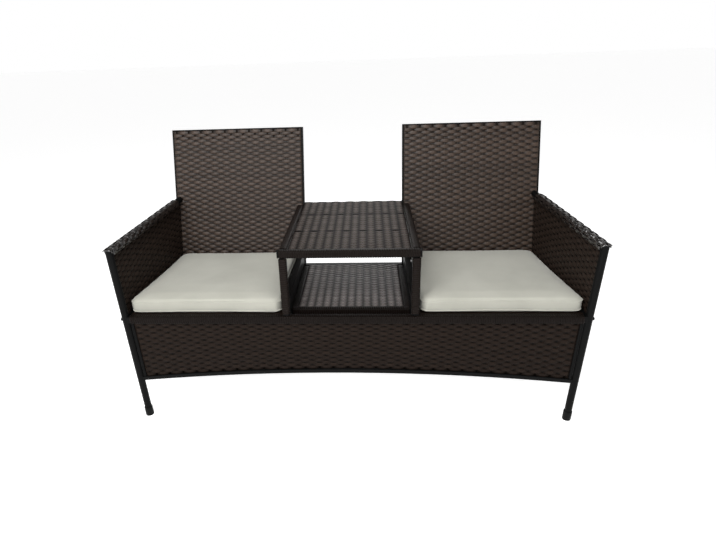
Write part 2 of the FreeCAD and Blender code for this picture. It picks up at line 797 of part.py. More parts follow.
def table_end_plug(side):
    """Square plug whose head also covers the end of the front bar's wrap."""
    end = table_front_line()[0 if side < 0 else 1] + ACROSS * (side * SEAM / 2)
    outward = ACROSS * side
    outline = rounded_section(end, BACKWARD, UP, TABLE_WRAP, TABLE_WRAP, TABLE_WRAP_CORNER_R)
    spigot = TABLE_BAR - 2 * TUBE_WALL - SEAM
    return Part.Face(outline).extrude(outward * END_PLUG_HEAD).fuse(
        box_bar((end, end - outward * END_PLUG_DEPTH), BACKWARD, spigot, spigot))


def tube_end_plugs():
    return Part.makeCompound([plug(side) for side in (-1, 1) for plug in (leg_head_plug, table_end_plug)])


# Cushions

def cushion_plan(side):
    """Corners of a seat cushion on the seat, from inner front round to inner back."""
    front = CUSHION_FRONT_Y
    rear = SEAT_DEPTH - CUSHION_GAP
    inner = side * (TABLE_SPAN / 2 + CUSHION_GAP)
    inset = side * (ARM_WEAVE_T / 2 + CUSHION_GAP)
    outer = [on_line(side_rail_line(side), y).x - inset for y in (front, rear)]
    return [V(inner, front, 0), V(outer[0], front, 0), V(outer[1], rear, 0), V(inner, rear, 0)]


def cushion_outline(side, inset, height, drawn):
    """Edges of a closed outline with rounded corners; drawn sides are pulled in between them."""
    plan = cushion_plan(side)
    centre = sum(plan, V(0, 0, 0)) / 4 + UP * height
    corners = []
    for index, corner in enumerate(plan):
        before = (plan[index - 1] - corner).normalize()
        after = (plan[(index + 1) % 4] - corner).normalize()
        corners.append(corner + (before + after) * (inset / math.sin(before.getAngle(after))) + UP * height)
    arcs = []
    for index, corner in enumerate(corners):
        first = corner + (corners[index - 1] - corner).normalize() * CUSHION_CORNER
        last = corner + (corners[(index + 1) % 4] - corner).normalize() * CUSHION_CORNER
        arcs.append((first, corner + ((first + last) / 2 - corner) * (2 - math.sqrt(2)), last))
    edges = []
    for arc, following in zip(arcs, arcs[1:] + arcs[:1]):
        start, end = arc[2], following[0]
        edges.append(Part.Arc(*arc).toShape())
        if drawn:
            middle = (start + end) / 2
            inward = (centre - middle).normalize()
            edges.append(Part.Arc(start, middle + inward * CUSHION_DRAW, end).toShape())
        else:
            edges.append(Part.LineSegment(start, end).toShape())
    return edges


def cushion_band(low, high):
    """Face between two edges that lie one above the other: flat if both are straight, or else ruled."""
    ends = [edge.valueAt(at) for edge, at in ((low, low.FirstParameter), (low, low.LastParameter),
                                              (high, high.LastParameter), (high, high.FirstParameter))]
    straight = all(isinstance(edge.Curve, Part.Line) for edge in (low, high))
    return Part.Face(polygon(ends)) if straight else Part.makeRuledSurface(low, high)


def cushion(side):
    """Seat pad with soft shoulders, drawn-in sides and a crowned top, lying on the sloping seat."""
    soft = CUSHION_SHOULDER
    crown = CUSHION_T + CUSHION_CROWN
    levels = [
        (soft, 0, False),
        (0, soft, True),
        (0, CUSHION_T - soft, True),
        (soft, CUSHION_T, False),
        (CROWN_EDGE, crown - CUSHION_CROWN / 3, False),
        (CROWN_FLAT, crown, False),
    ]
    outlines = [cushion_outline(side, *level) for level in levels]
    faces = [Part.Face(Part.Wire(outline)) for outline in (outlines[0], outlines[-1])]
    for lower, upper in zip(outlines, outlines[1:]):
        faces += [cushion_band(low, high) for low, high in zip(lower, upper)]
    cover = Part.makeCompound(faces)
    cover.sewShape()
    pad = Part.Solid(cover.Shells[0])
    pad.rotate(V(0, 0, 0), ACROSS, -math.degrees(math.atan2(SEAT_DROP, REAR_RAIL_Y)))
    pad.translate(UP * (RAIL_Z + SEAT_BAR / 2 + SEAM))
    return pad


# Assembly

def build():
    nodes = {}
    holes = bolt_holes(BOLT_HOLE_D)
    for word, side in SIDES.items():
        nodes["front_leg_" + word] = front_leg(side).cut(holes)
        nodes["arm_rail_" + word] = arm_rail(side)
        nodes["arm_wrap_" + word] = arm_wrap(side)
        nodes["arm_weave_" + word] = arm_weave(side)
        nodes["rear_leg_" + word] = rear_leg(side).cut(holes)
        nodes["seat_side_rail_" + word] = seat_side_rail(side)
        nodes["seat_inner_rail_" + word] = seat_inner_rail(side)
        nodes["seat_bearer_" + word] = seat_bearer(side)
        nodes["seat_weave_" + word] = seat_weave(side)
        nodes["apron_stile_" + word] = apron_stile(side)
        nodes["back_outer_upright_" + word] = back_upright(side, side * OUTER_POST_X, -side).cut(holes)
        nodes["back_inner_upright_" + word] = back_upright(side, side * INNER_POST_X, side).cut(holes)
        nodes["back_top_bar_" + word] = back_top_bar(side)
        nodes["back_foot_bar_" + word] = back_foot_bar(side)
        nodes["back_weave_" + word] = back_weave(side).cut(holes)
        nodes["table_side_bar_" + word] = table_side_bar(side)
        nodes["table_post_" + word] = table_post(side)
        nodes["cushion_guard_" + word] = cushion_guard(side)
        nodes["seat_cushion_" + word] = cushion(side)
    nodes["foot_caps"] = foot_caps()
    nodes["seat_front_rail"] = seat_front_rail()
    nodes["seat_front_rail_wrap"] = seat_front_rail_wrap()
    nodes["seat_rear_rail"] = seat_rear_rail()
    nodes["apron_lower_rail"] = apron_lower_rail()
    nodes["apron_weave"] = apron_weave()
    nodes["table_front_bar"] = table_core(table_front_line())
    nodes["table_rear_bar"] = table_core(table_rear_line())
    nodes["table_frame_wrap"] = table_frame_wrap()
    nodes["table_cross_rods"] = table_cross_rods()
    nodes["table_top_weave"] = table_top_weave()
    for index, place in enumerate(("front", "right", "rear", "left")):
        nodes["shelf_bar_" + place] = shelf_bar(index)
    nodes["shelf_weave"] = shelf_weave()
    nodes["frame_bolts"] = frame_bolts()
    nodes["threaded_plugs"] = threaded_plugs()
    nodes["tube_end_plugs"] = tube_end_plugs()
    return nodes


def export(nodes):
    """Centre the bench on its own box from front to back and write one file for each piece."""
    box = Part.makeCompound(list(nodes.values())).optimalBoundingBox(False, False)
    shift = V(0, -(box.YMin + box.YMax) / 2, 0)
    os.makedirs("parts", exist_ok=True)
    for name, shape in nodes.items():
        moved = shape.copy()
        moved.translate(shift)
        moved.exportStep(os.path.join("parts", name + ".step"))
    print("front legs at y", round(shift.y, 3))
    print("overall", round(box.XLength, 2), round(box.YLength, 2), round(box.ZLength, 2))


export(build())
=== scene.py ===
import json
import math

import bpy
import numpy as np
from mathutils import Matrix, Vector

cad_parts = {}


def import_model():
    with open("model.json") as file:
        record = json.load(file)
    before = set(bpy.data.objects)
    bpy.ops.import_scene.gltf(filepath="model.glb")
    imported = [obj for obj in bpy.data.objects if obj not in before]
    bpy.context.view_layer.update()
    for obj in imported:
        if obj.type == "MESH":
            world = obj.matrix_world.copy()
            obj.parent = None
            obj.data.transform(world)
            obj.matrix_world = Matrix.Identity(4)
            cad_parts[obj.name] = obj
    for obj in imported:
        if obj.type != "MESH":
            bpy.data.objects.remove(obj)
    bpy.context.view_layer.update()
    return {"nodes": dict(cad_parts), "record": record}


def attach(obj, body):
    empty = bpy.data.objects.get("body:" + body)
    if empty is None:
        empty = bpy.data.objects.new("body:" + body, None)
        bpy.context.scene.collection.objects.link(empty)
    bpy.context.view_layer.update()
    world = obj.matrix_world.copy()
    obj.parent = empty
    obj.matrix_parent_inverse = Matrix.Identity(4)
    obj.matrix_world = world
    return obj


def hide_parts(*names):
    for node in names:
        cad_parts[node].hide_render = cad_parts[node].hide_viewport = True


# Garden bench with a table: woven strand on a steel frame, with two loose cushions.
# Lengths are in metres, in the frame of the part.

# Weave
ROW_PITCH = 0.0100
WARP_PITCH = 0.0220
STRAND_COVER = 1.45
# Painted shade: how dark the rows across the table top are painted, in place of the shaded gaps over its
# cross rods
PAINTED_GAP_SHADE = 0.12
STRAND_T = 0.0014
WEAVE_LIFT = 0.0012
WEAVE_CREST = 1.7
TABLE_LIFT = 0.0007
TABLE_CREST = 1.4
# Painted shade: how much darker a strand is painted where it goes under a warp
PAINTED_UNDER_SHADE = 0.82
# Painted shade: how much darker the level panels' strands are painted where they cross over
PAINTED_CROSSING_SHADE = 0.90
# Painted shade: how much darker the strands of the shaded sides and apron are painted where they go under
FAINT_PAINTED_SHADE = 0.45
TABLE_WARP_PITCH = 0.0250
WARP_W = 0.0080
STEPS_PER_WARP = 4
STEPS_ALONG_WARP = 8
TINT_RANGE = (0.78, 1.15)
WANDER = 0.0004
WANDER_LENGTH = 0.35

# Wound strand on bars
WIND_PITCH = 0.0068
WIND_T = 0.0008
WIND_COVER = 1.02
WIND_STEPS = 28

# Shape values that the frame does not give
BACK_LEAN = math.radians(15)
BACK_EDGE = 0.003
APRON_RISE = 0.034
ARM_WRAP_W = 0.029
ARM_WRAP_H = 0.026
ARM_WRAP_R = 0.010
RAIL_WRAP = 0.025
RAIL_CORNER_R = 0.006
TABLE_WRAP = 0.024
TABLE_WRAP_T = 0.003
TABLE_CORNER_R = 0.007
SHELF_BAR = 0.019
BAR_CORNER_R = 0.003
CAP_RIM_R = 0.005
CAP_RIM_ANGLE = math.radians(50)

# Cushions
CUSHION_VOXEL = 0.006
CUSHION_FRAMES = 20
CUSHION_PRESSURE = 4.0
CLOTH_MASS = 0.2
CUSHION_MOVE = 0.003
CUSHION_T = 0.045
CUSHION_SHOULDER = 0.007
SEAT_DROP = 0.008
SEAT_WEAVE_LAP = 0.016
CUSHION_REAR_FILL = 0.014
PIPING_R = 0.0018

# Floor
FLOOR_HALF = 40.0
FLOOR_GLOW = 0.7

# Camera, fitted to the photograph
CAMERA_PLACE = Vector((0.055, -1.722, 1.108))
CAMERA_PITCH = math.radians(23.6)
CAMERA_YAW = math.radians(-4.56)
CAMERA_ROLL = math.radians(-2.19)
PHOTO_W, PHOTO_H = 716, 540
FOCAL_PX = 541
CENTRE_PX = (329, 281)

X, Y, Z = Vector((1, 0, 0)), Vector((0, 1, 0)), Vector((0, 0, 1))
BACK_UP = Vector((0, math.sin(BACK_LEAN), math.cos(BACK_LEAN)))
BACK_OUT = Vector((0, -math.cos(BACK_LEAN), math.sin(BACK_LEAN)))

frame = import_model()
random = np.random.default_rng(7)


# Materials

def new_material(name):
    material = bpy.data.materials.new(name)
    material.use_nodes = True
    nodes, links = material.node_tree.nodes, material.node_tree.links
    return material, nodes, links, nodes["Principled BSDF"]


def noise(nodes, links, scale, detail, stretch=(1, 1, 1)):
    """Noise in object space, stretched along the axes."""
    place = nodes.new("ShaderNodeTexCoord")
    mapping = nodes.new("ShaderNodeMapping")
    texture = nodes.new("ShaderNodeTexNoise")
    mapping.inputs["Scale"].default_value = stretch
    texture.inputs["Scale"].default_value = scale
    texture.inputs["Detail"].default_value = detail
    links.new(place.outputs["Object"], mapping.inputs["Vector"])
    links.new(mapping.outputs["Vector"], texture.inputs["Vector"])
    return texture.outputs["Fac"]


def ramp(nodes, links, value, low, high):
    """Colour between low and high by a value."""
    node = nodes.new("ShaderNodeValToRGB")
    node.color_ramp.elements[0].position = 0.3
    node.color_ramp.elements[1].position = 0.7
    node.color_ramp.elements[0].color = (*low, 1)
    node.color_ramp.elements[1].color = (*high, 1)
    links.new(value, node.inputs["Fac"])
    return node.outputs["Color"]


def bump(nodes, links, shader, height, distance, strength):
    node = nodes.new("ShaderNodeBump")
    node.inputs["Distance"].default_value = distance
    node.inputs["Strength"].default_value = strength
    links.new(height, node.inputs["Height"])
    links.new(node.outputs["Normal"], shader.inputs["Normal"])


def coated_steel():
    material, nodes, links, shader = new_material("black coated steel")
    grain = noise(nodes, links, 900, 2)
    colour = ramp(nodes, links, grain, (0.003, 0.003, 0.003), (0.006, 0.006, 0.006))
    links.new(colour, shader.inputs["Base Color"])
    shader.inputs["Roughness"].default_value = 0.45
    shader.inputs["Specular IOR Level"].default_value = 0.06
    bump(nodes, links, shader, grain, 0.0002, 0.25)
    return material


def strand_plastic(name, low, high, roughness, gloss):
    """Flat plastic strand: each one its own tone, times the painted shade of its weave, with fine grain along
    it.
    """
    material, nodes, links, shader = new_material(name)
    tone_and_painted_shade = nodes.new("ShaderNodeAttribute")
    tone_and_painted_shade.attribute_name = "tone_and_painted_shade"
    grain = noise(nodes, links, 420, 3)
    mix = nodes.new("ShaderNodeMix")
    mix.data_type = "RGBA"
    mix.blend_type = "MULTIPLY"
    mix.inputs["Factor"].default_value = 1
    links.new(ramp(nodes, links, grain, low, high), mix.inputs["A"])
    links.new(tone_and_painted_shade.outputs["Color"], mix.inputs["B"])
    links.new(mix.outputs["Result"], shader.inputs["Base Color"])
    shader.inputs["Roughness"].default_value = roughness
    shader.inputs["Specular IOR Level"].default_value = gloss
    bump(nodes, links, shader, grain, 0.0002, 0.3)
    return material


def cushion_cloth():
    material, nodes, links, shader = new_material("cream cushion cloth")
    place = nodes.new("ShaderNodeTexCoord")
    threads = []
    for axis in ("X", "Y"):
        wave = nodes.new("ShaderNodeTexWave")
        wave.bands_direction = axis
        wave.inputs["Scale"].default_value = 260
        wave.inputs["Distortion"].default_value = 1.5
        links.new(place.outputs["Object"], wave.inputs["Vector"])
        threads.append(wave.outputs["Fac"])
    weave = nodes.new("ShaderNodeMath")
    weave.operation = "MULTIPLY"
    links.new(threads[0], weave.inputs[0])
    links.new(threads[1], weave.inputs[1])
    shade = noise(nodes, links, 9, 4)
    colour = ramp(nodes, links, shade, (0.415, 0.411, 0.356), (0.475, 0.471, 0.411))
    links.new(colour, shader.inputs["Base Color"])
    shader.inputs["Roughness"].default_value = 0.9
    shader.inputs["Sheen Weight"].default_value = 0.25
    bump(nodes, links, shader, weave.outputs["Value"], 0.0004, 0.35)
    return material


def moulded_plastic():
    material, nodes, links, shader = new_material("black moulded plastic")
    grain = noise(nodes, links, 1400, 2)
    colour = ramp(nodes, links, grain, (0.004, 0.004, 0.004), (0.007, 0.007, 0.007))
    links.new(colour, shader.inputs["Base Color"])
    shader.inputs["Roughness"].default_value = 0.5
    shader.inputs["Specular IOR Level"].default_value = 0.08
    bump(nodes, links, shader, grain, 0.0001, 0.3)
    return material


def dark_zinc():
    material, nodes, links, shader = new_material("dark zinc")
    grain = noise(nodes, links, 700, 3)
    colour = ramp(nodes, links, grain, (0.006, 0.006, 0.006), (0.012, 0.012, 0.012))
    links.new(colour, shader.inputs["Base Color"])
    shader.inputs["Metallic"].default_value = 1
    shader.inputs["Roughness"].default_value = 0.35
    return material


def pale_floor():
    """White where it is seen, also in gloss and through glass; only its own colour lights the bench."""
    material, nodes, links, shader = new_material("pale floor")
    shader.inputs["Base Color"].default_value = (0.92, 0.92, 0.92, 1)
    shader.inputs["Roughness"].default_value = 0.9
    shader.inputs["Emission Color"].default_value = (1, 1, 1, 1)
    path = nodes.new("ShaderNodeLightPath")
    seen = path.outputs["Is Camera Ray"]
    for ray in ("Is Glossy Ray", "Is Transmission Ray"):
        either = nodes.new("ShaderNodeMath")
        either.operation = "MAXIMUM"
        links.new(seen, either.inputs[0])
        links.new(path.outputs[ray], either.inputs[1])
        seen = either.outputs["Value"]
    glow = nodes.new("ShaderNodeMath")
    glow.operation = "MULTIPLY"
    glow.inputs[1].default_value = FLOOR_GLOW
    links.new(seen, glow.inputs[0])
    links.new(glow.outputs["Value"], shader.inputs["Emission Strength"])
    return material


STEEL = coated_steel()
# The strands are lit and shaded copies of one plastic strand, each painted lighter or darker for the light
# that falls where it is used: the table copy is painted lighter in place of its sheen, the shelf copy painted
# lighter in place of its reflection of the bright backdrop, and the side, inner side and wound copies painted
# darker for the shade they lie in; the arm copy is darker and glossier.
BACK_STRAND = strand_plastic("backrest strand", (0.040, 0.0262, 0.0190), (0.067, 0.0455, 0.0345), 0.40, 0.22)
TABLE_STRAND_PAINTED_SHEEN = strand_plastic("table strand with painted sheen", (0.074, 0.0615, 0.0555), (0.110, 0.0930, 0.0845), 0.40, 0.012)
SHELF_STRAND_PAINTED_REFLECTION = strand_plastic("shelf strand with painted reflection", (0.170, 0.1490, 0.1430), (0.250, 0.2220, 0.2130), 0.34, 0.06)
SIDE_STRAND_PAINTED_SHADE = strand_plastic("side strand in painted shade", (0.0125, 0.0078, 0.0056), (0.0185, 0.0118, 0.0086), 0.50, 0.07)
INNER_STRAND_PAINTED_SHADE = strand_plastic("inner side strand in painted shade", (0.0200, 0.0135, 0.0103), (0.0290, 0.0198, 0.0152),
                              0.50, 0.07)
ARM_STRAND = strand_plastic("arm strand", (0.012, 0.0088, 0.0072), (0.020, 0.0148, 0.0122), 0.22, 0.9)
WOUND_PAINTED_SHADE = strand_plastic("wound strand in painted shade", (0.0065, 0.0043, 0.0034), (0.0108, 0.0073, 0.0058), 0.45, 0.08)
CLOTH = cushion_cloth()
PLASTIC = moulded_plastic()
ZINC = dark_zinc()
FINISH = {
    "black_steel": STEEL,
    "rattan_weave": SIDE_STRAND_PAINTED_SHADE,
    "rattan_wrap": WOUND_PAINTED_SHADE,
    "cushion_fabric": CLOTH,
    "cap_plastic": PLASTIC,
    "fastener_steel": ZINC,
}


# Places read from the frame

def corners_of(node):
    """A CAD node's vertices, in the row frame."""
    piece = frame["nodes"][node]
    return np.array([piece.matrix_world @ vertex.co for vertex in piece.data.vertices])


def furthest(points, direction):
    return Vector(points[np.argmax(points @ np.array(direction))])


def middle_quad(node, across, upward, out):
    """Corners of a panel's middle surface: low start, low end, high end, high start."""
    points = corners_of(node)
    quad = []
    for i, j in ((-1, -1), (1, -1), (1, 1), (-1, 1)):
        toward = across * i + upward * j
        near, far = (furthest(points, toward + out * tilt) for tilt in (0.02, -0.02))
        quad.append((near + far) / 2)
    return quad


def axis_of(node, run):
    """Middle of a bar's two ends along a direction."""
    points = corners_of(node)
    reach = points @ np.array(run)
    middle = (reach.min() + reach.max()) / 2
    ends = []
    for limit, half in ((reach.min(), reach < middle), (reach.max(), reach > middle)):
        centre = (points[half].min(axis=0) + points[half].max(axis=0)) / 2
        ends.append(Vector(centre + np.array(run) * (limit - centre @ np.array(run))))
    return ends


# Strands

SECTION = np.array([(-1.0, 0.0), (-0.66, 0.8), (0.0, 1.0), (0.66, 0.8),
                    (1.0, 0.0), (0.66, -0.8), (0.0, -1.0), (-0.66, -0.8)])


def finish_piece(piece, material, nodes=(), body="frame"):
    piece.data.materials.clear()
    piece.data.materials.append(material)
    for polygon in piece.data.polygons:
        polygon.use_smooth = True
    if nodes:
        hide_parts(*nodes)
    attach(piece, body)


def mesh_piece(name, points, faces, tones_and_painted_shades=None):
    mesh = bpy.data.meshes.new(name)
    mesh.from_pydata(points.tolist(), [], faces)
    if tones_and_painted_shades is not None:
        colours = np.repeat(tones_and_painted_shades[:, None], 4, axis=1)
        colours[:, 3] = 1
        layer = mesh.color_attributes.new("tone_and_painted_shade", "FLOAT_COLOR", "POINT")
        layer.data.foreach_set("color", colours.ravel())
    piece = bpy.data.objects.new(name, mesh)
    bpy.context.scene.collection.objects.link(piece)
    return piece


def strand_mesh(name, strands):
    """One mesh of strands: points, half widths and half thicknesses as vectors, and painted shades from 0 to
    1, which are multiplied by each strand's own random tone.
    """
    ring = len(SECTION)
    blocks, faces, tones_and_painted_shades, base = [], [], [], 0
    for points, widths, heights, painted_shades in strands:
        count = len(points)
        sideways = SECTION[None, :, :1] * widths[:, None]
        upward = SECTION[None, :, 1:] * heights[:, None]
        blocks.append((points[:, None] + sideways + upward).reshape(-1, 3))
        for step in range(count - 1):
            low = base + step * ring
            for k in range(ring):
                following = (k + 1) % ring
                faces.append((low + k, low + following, low + ring + following, low + ring + k))
        faces.append(tuple(base + k for k in reversed(range(ring))))
        faces.append(tuple(base + (count - 1) * ring + k for k in range(ring)))
        tones_and_painted_shades.append(np.repeat(painted_shades * random.uniform(*TINT_RANGE), ring))
        base += count * ring
    return mesh_piece(name, np.vstack(blocks), faces, np.concatenate(tones_and_painted_shades))


def quad_surface(quad, sag=None):
    """Bilinear patch. sag lifts the low edge by an amount that depends on the place along it."""
    a, b, c, d = (np.array(corner) for corner in quad)

    def at(u, v):
        u, v = np.broadcast_arrays(u, v)
        u, v = u[:, None], v[:, None]
        low = a + (b - a) * u
        high = d + (c - d) * u
        if sag is not None:
            low = low + np.array([[0, 0, 1]]) * sag(u)
        return low + (high - low) * v

    length = (np.linalg.norm(b - a) + np.linalg.norm(c - d)) / 2
    height = (np.linalg.norm(d - a) + np.linalg.norm(c - b)) / 2
    return at, length, height


def unit(vectors):
    return vectors / np.linalg.norm(vectors, axis=1, keepdims=True)


def over_under(u, warps, row, crest):
    """Height of a row from 1 where it goes over a warp to -1 where it goes under the next."""
    wave = np.cos(math.pi * (u * warps - 0.5) + math.pi * row)
    return np.tanh(crest * wave) / math.tanh(crest)


def painted_under_shade(over):
    """Painted shade: a strand is painted darker where it goes under, where the crossing strands shade it."""
    return 1 - PAINTED_UNDER_SHADE * (1 - over) / 2


def faint_painted_shade(over):
    """Painted shade on the sides, the apron and the seat, which lie in shade: a strand is painted only a
    little darker where it goes under, so the weave hardly shows.
    """
    return 1 - FAINT_PAINTED_SHADE * (1 - over) / 2


def level_painted_shade(over):
    """Painted shade on a level panel, which is seen along its strands: they are painted darker where they
    cross over, where they tilt at the crossing.
    """
    return 1 - PAINTED_CROSSING_SHADE * (1 - over ** 4)


# Warp pitch, lift, crest and painted shading of each kind of panel
BACK_WEAVE = (WARP_PITCH, WEAVE_LIFT, WEAVE_CREST, painted_under_shade)
SIDE_WEAVE = (WARP_PITCH, WEAVE_LIFT, WEAVE_CREST, faint_painted_shade)
SEAT_WEAVE = (WARP_PITCH, TABLE_LIFT, TABLE_CREST, faint_painted_shade)
LEVEL_WEAVE = (TABLE_WARP_PITCH, TABLE_LIFT, TABLE_CREST, level_painted_shade)


def plain_weave(surface, length, height, out, painted_gap_rows, warp_pitch, lift, crest, painted_shading):
    """Strands that run along u, over and under warps that run along v."""
    rows = max(2, round(height / ROW_PITCH))
    warps = max(2, round(length / warp_pitch))
    u = np.linspace(0, 1, warps * STEPS_PER_WARP + 1)
    step = 1e-3
    strands = []
    for row in range(rows):
        v = np.full_like(u, (row + 0.5) / rows)
        along = unit(surface(np.minimum(u + step, 1), v) - surface(np.maximum(u - step, 0), v))
        across = surface(u, v + 0.5 / rows) - surface(u, v - 0.5 / rows)
        normal = unit(np.cross(along, across))
        normal *= np.sign((normal @ np.array(out))[:, None])
        wander = WANDER * np.sin(2 * math.pi * (u * length / WANDER_LENGTH + random.uniform()))
        over = over_under(u, warps, row, crest)
        points = surface(u, v) + normal * (lift * over)[:, None] + unit(across) * wander[:, None]
        # Painted shade: the listed rows are painted darker, in place of shaded gaps
        painted_gap_dim = PAINTED_GAP_SHADE if row in painted_gap_rows else 1
        strands.append((points, across * (STRAND_COVER / 2), normal * STRAND_T, painted_gap_dim * painted_shading(over)))
    v = np.linspace(0, 1, STEPS_ALONG_WARP + 1)
    for warp in range(warps):
        u_warp = np.full_like(v, (warp + 0.5) / warps)
        along = unit(surface(u_warp, np.minimum(v + step, 1)) - surface(u_warp, np.maximum(v - step, 0)))
        sideways = surface(u_warp + step, v) - surface(u_warp - step, v)
        normal = unit(np.cross(along, sideways))
        # Painted shade: the warps, seen only through the gaps, are painted as dark as a strand where it goes
        # under
        strands.append((surface(u_warp, v), unit(sideways) * (WARP_W / 2), normal * (STRAND_T / 2),
                        np.full_like(v, 1 - PAINTED_UNDER_SHADE)))
    return strands


def woven_panel(node, across, upward, out, material, sag=None, edge=0, quad=None, dark=(),
                weave=BACK_WEAVE):
    """Plain weave in place of a panel; edge draws its corners in, or out if it is negative; dark lists rows,
    as parts of its height, that are painted shade in place of shaded gaps.
    """
    quad = quad or middle_quad(node, across, upward, out)
    centre = sum(quad, Vector()) / 4
    quad = [corner + (centre - corner) * (edge / (centre - corner).length) for corner in quad]
    surface, length, height = quad_surface(quad, sag)
    rows = round(height / ROW_PITCH)
    strands = plain_weave(surface, length, height, out, [round(part * rows) for part in dark], *weave)
    finish_piece(strand_mesh(node + "_strands", strands), material, [node])


def level_panel(node, material, rear_bar, cover, dark=()):
    """A table or shelf panel, woven on over its rear bar."""
    quad = middle_quad(node, X, Y, Z)
    top = corners_of(rear_bar).max(axis=0)
    for corner in quad[2:]:
        corner.y, corner.z = top[1] + cover, top[2] + cover
    woven_panel(node, X, Y, Z, material, quad=quad, dark=dark,
                weave=LEVEL_WEAVE)


def rounded_loop(width, height, radius, count):
    """Points round a rectangle with round corners, and their outward directions, evenly spaced."""
    flat_w, flat_h = width - 2 * radius, height - 2 * radius
    turn = math.pi * radius / 2
    lengths = [flat_h, turn, flat_w, turn, flat_h, turn, flat_w, turn]
    total = sum(lengths)
    places, outs = [], []
    for index in range(count):
        left = total * index / count
        side = 0
        while left > lengths[side]:
            left -= lengths[side]
            side += 1
        quarter = side // 2
        half_w, half_h = (width / 2, flat_h / 2) if quarter % 2 == 0 else (height / 2, flat_w / 2)
        if side % 2 == 0:
            x, y, angle = half_w, left - half_h, 0
        else:
            angle = left / radius
            x = half_w - radius + radius * math.cos(angle)
            y = half_h + radius * math.sin(angle)
        spin = quarter * math.pi / 2
        rotate = np.array([[math.cos(spin), -math.sin(spin)], [math.sin(spin), math.cos(spin)]])
        places.append(rotate @ (x, y))
        outs.append(rotate @ (math.cos(angle), math.sin(angle)))
    return np.array(places), np.array(outs)


def wound_bar(start, end, across, upward, width, height, radius):
    """One flat strand wound along a bar, its face on the given outline."""
    run = np.array(end - start)
    length = np.linalg.norm(run)
    run /= length
    turns = max(2, round(length / WIND_PITCH) - 1)
    places, outs = rounded_loop(width, height, radius, WIND_STEPS)
    order = np.arange(turns * WIND_STEPS + 1)
    sides = np.array([across, upward])
    pitch = length / (turns + 1)
    reach = (order / WIND_STEPS + 0.5) * pitch
    normal = outs[order % WIND_STEPS] @ sides
    points = np.array(start) + run * reach[:, None] + places[order % WIND_STEPS] @ sides - normal * WIND_T
    widths = np.broadcast_to(run * (pitch * WIND_COVER / 2), points.shape)
    return points, widths, normal * WIND_T, np.ones(len(points))


def wound_piece(name, bars, nodes=()):
    finish_piece(strand_mesh(name, [wound_bar(*bar) for bar in bars]), WOUND_PAINTED_SHADE, nodes)


def square_bar(node, run, across, upward, size, radius):
    return *axis_of(node, run), across, upward, size, size, radius


def woven_arm(node):
    """Strands along the arm, over and under warps that go round it."""
    points = corners_of(node)
    low, high = points[:, 1].min(), points[:, 1].max()
    rear = points[points[:, 1] > high - ARM_WRAP_H / 2]
    back = Vector((rear.min(axis=0) + rear.max(axis=0)) / 2)
    top_front = furthest(points, Vector((0, -1, 0.5)))
    near = points[points[:, 1] < low + 2 * ARM_WRAP_W]
    middle_x = (near[:, 0].min() + near[:, 0].max()) / 2
    front = Vector((middle_x, top_front.y + ARM_WRAP_H / 2, top_front.z - ARM_WRAP_H / 2))
    run = (back - front).normalized()
    across = Vector((run.y, -run.x, 0)).normalized()
    sides = np.array([across, across.cross(run)])
    girth = 2 * (ARM_WRAP_W + ARM_WRAP_H) - (8 - 2 * math.pi) * ARM_WRAP_R
    rows = 2 * round(girth / ROW_PITCH / 2)
    places, outs = rounded_loop(ARM_WRAP_W, ARM_WRAP_H, ARM_WRAP_R, rows)
    warps = round((back - front).length / WARP_PITCH)
    u = np.linspace(0, 1, warps * STEPS_PER_WARP + 1)
    strands = []
    for row in range(rows):
        place, out = places[row] @ sides, outs[row] @ sides
        start = np.array(front) - np.array(run) * places[row][1]
        over = over_under(u, warps, row, WEAVE_CREST)
        lift = WEAVE_LIFT * (over - 1) - STRAND_T
        path = start + (np.array(back) - start) * u[:, None] + place + out * lift[:, None]
        width = np.cross(out, np.array(run)) * (girth / rows / 2 * STRAND_COVER)
        # Each strand round the arm is painted darker where it goes under, as painted shade
        strands.append((path, np.broadcast_to(width, path.shape), np.broadcast_to(out * STRAND_T, path.shape),
                        painted_under_shade(over)))
    finish_piece(strand_mesh(node + "_strands", strands), ARM_STRAND, [node])


# Cushions

def cushion(node, body):
    """Padded seat cushion: the CAD pad, blown up a little as cloth, with piping along its edges."""
    source = frame["nodes"][node]
    pad = bpy.data.objects.new(node + "_cover", source.data.copy())
    pad.matrix_world = source.matrix_world.copy()
    bpy.context.scene.collection.objects.link(pad)
    even = pad.modifiers.new("even", "REMESH")
    even.mode = "VOXEL"
    even.voxel_size = CUSHION_VOXEL
    pad.data = bpy.data.meshes.new_from_object(pad.evaluated_get(bpy.context.evaluated_depsgraph_get()))
    pad.modifiers.clear()
    blow_up(pad)
    fill_rear(pad)
    soften = pad.modifiers.new("soften", "SMOOTH")
    soften.iterations = 2
    pad.data = bpy.data.meshes.new_from_object(pad.evaluated_get(bpy.context.evaluated_depsgraph_get()))
    pad.modifiers.clear()
    heights = (CUSHION_SHOULDER, CUSHION_T - CUSHION_SHOULDER)
    seams = [edge_piping(pad, corners_of(node), height) for height in heights]
    piping = strand_mesh(node + "_piping", seams)
    finish_piece(piping, CLOTH, (), body)
    pad.modifiers.new("fine", "SUBSURF").render_levels = 1
    finish_piece(pad, CLOTH, [node], body)


def fill_rear(pad):
    """Raises the top toward the backrest, where the filling is pushed up."""
    points = np.array([vertex.co for vertex in pad.data.vertices])
    part = (points - points.min(axis=0)) / (points.max(axis=0) - points.min(axis=0))
    points[:, 2] += CUSHION_REAR_FILL * part[:, 1] * part[:, 2]
    pad.data.vertices.foreach_set("co", points.ravel())
    pad.data.update()


